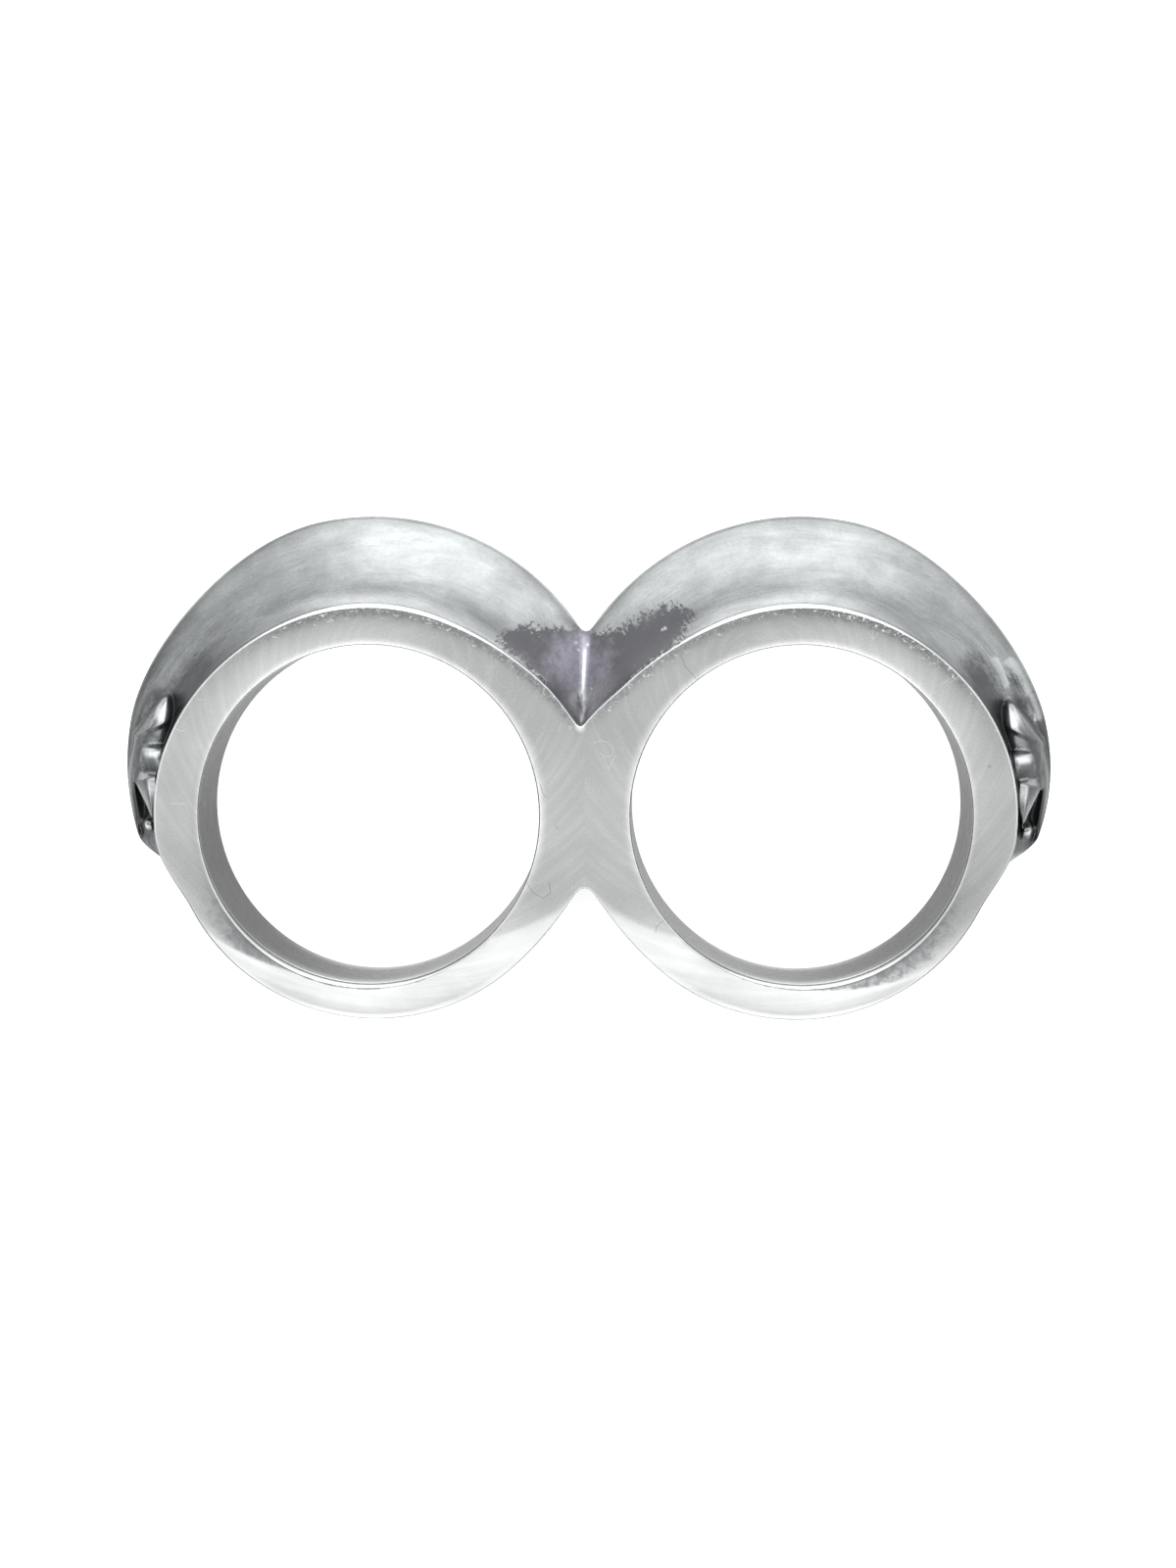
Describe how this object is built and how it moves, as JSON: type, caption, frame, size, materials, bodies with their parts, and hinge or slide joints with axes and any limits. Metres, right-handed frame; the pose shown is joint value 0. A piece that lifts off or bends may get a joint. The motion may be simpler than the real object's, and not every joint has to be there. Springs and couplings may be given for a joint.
{
  "type": "double ring",
  "caption": "Cast silver double ring for two neighbouring fingers, with two crowned bands joined by a bridge and leaf relief on the outer ends.",
  "frame": {"origin": "on the surface that the ring lies on, under the middle of its bounding box", "axes": "+X from the left finger hole to the right one, +Y towards the knuckle side with the two crowns, +Z along the fingers"},
  "size_m": [0.052, 0.0283, 0.009],
  "materials": {
    "silver": "sterling silver, satin side faces and burnished crowns, with dark oxidised recesses, fine scratches and small nicks"
  },
  "bodies": {
    "root": {"double_ring": "silver"}
  },
  "joints": []
}
